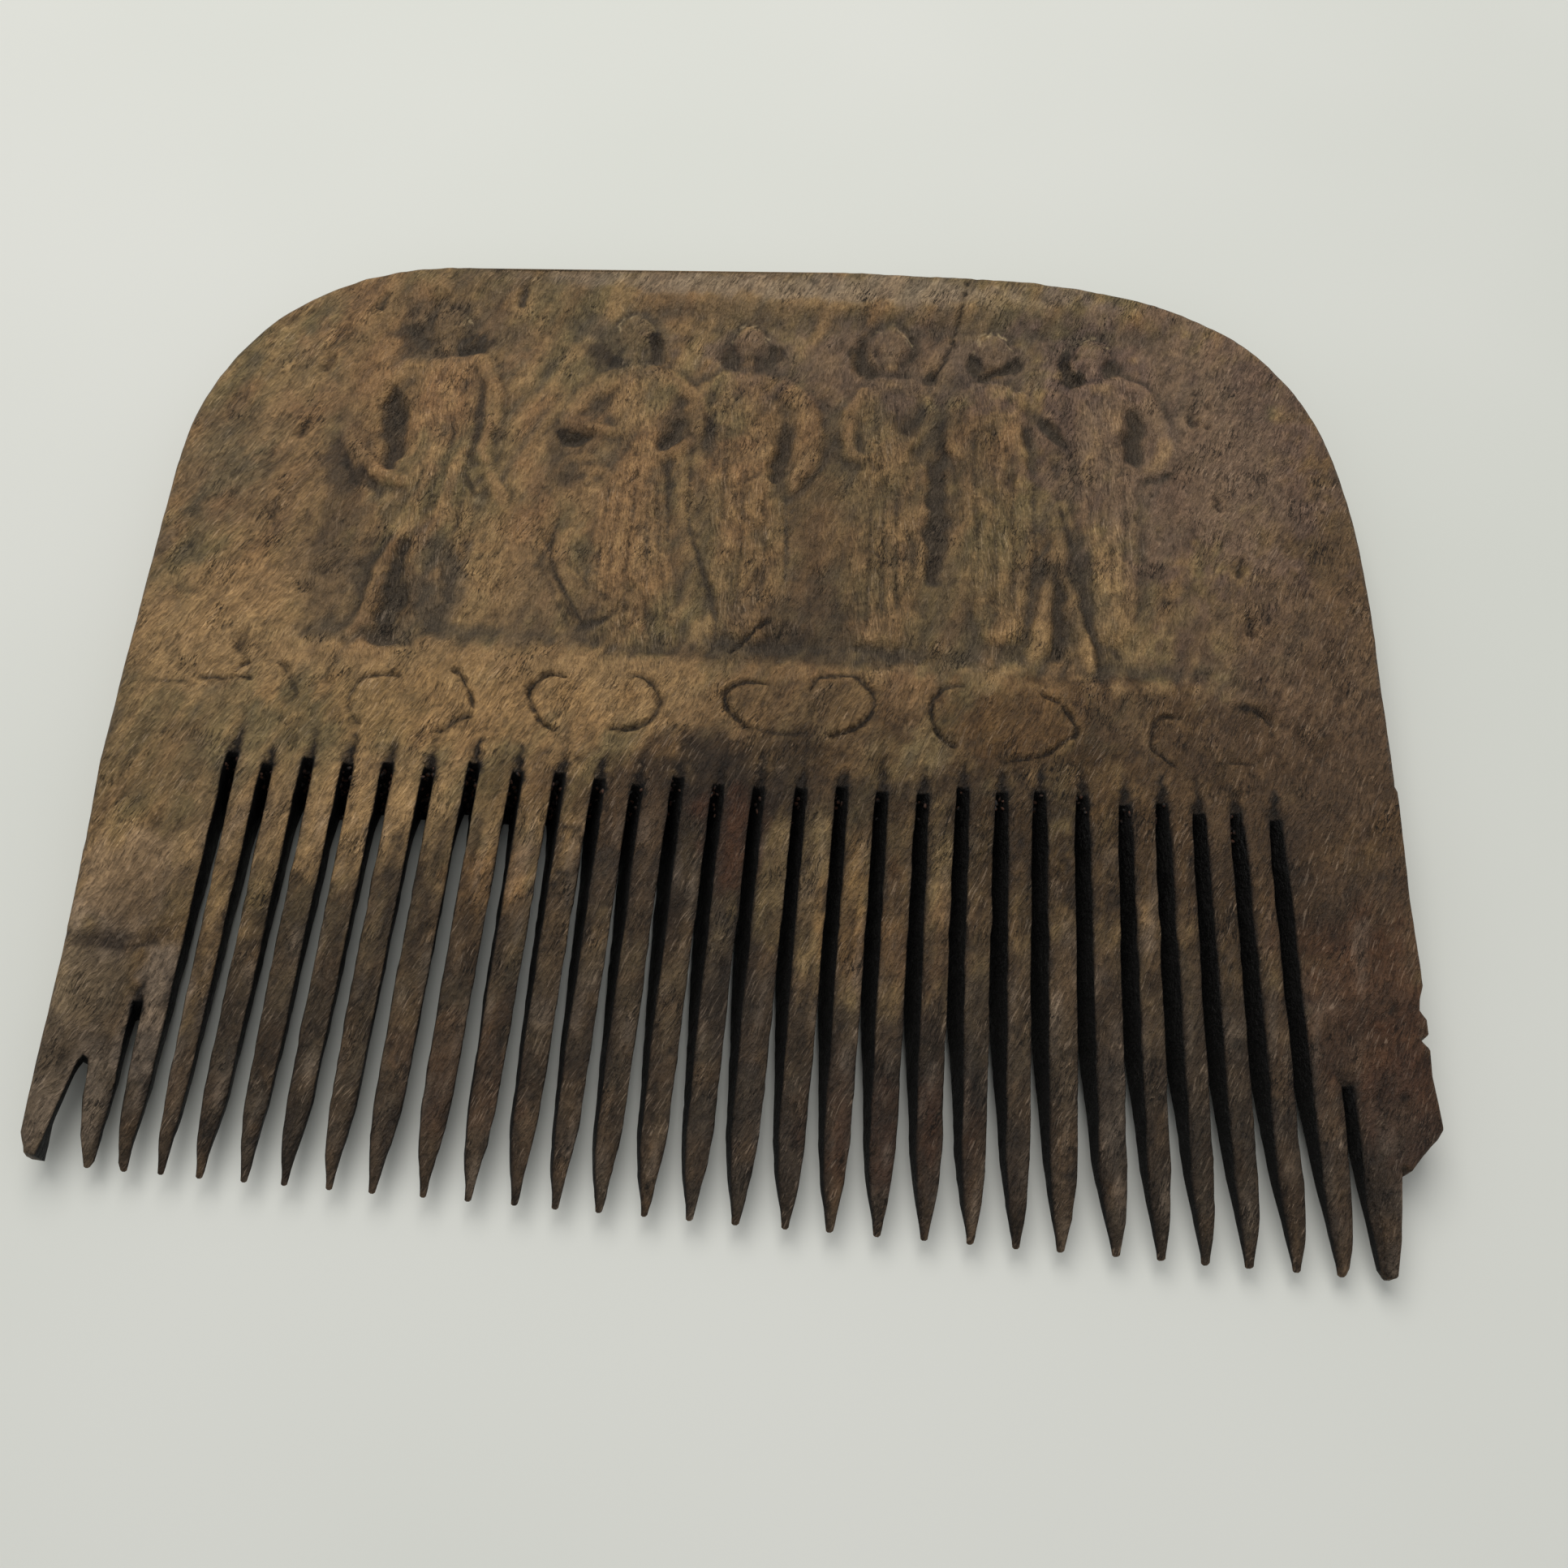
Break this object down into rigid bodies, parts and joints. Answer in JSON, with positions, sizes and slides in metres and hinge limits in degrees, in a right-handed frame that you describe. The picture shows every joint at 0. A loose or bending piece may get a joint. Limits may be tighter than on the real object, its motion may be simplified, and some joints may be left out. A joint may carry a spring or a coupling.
{
  "type": "bone comb",
  "caption": "Flat one-sided hair comb of dark bone with a rounded back, wide guards, sawn tapering teeth and a sunk panel of small standing figures.",
  "frame": {"origin": "middle of the bounding box, on the flat underside that the comb rests on", "axes": "+X across the comb from the wide left guard to the broken right guard, +Y from the teeth to the rounded back, +Z out of the carved face"},
  "size_m": [0.0944, 0.0822, 0.0056],
  "materials": {
    "bone": "matt, worn and stained bone"
  },
  "bodies": {
    "root": {"comb": "bone"}
  },
  "joints": []
}
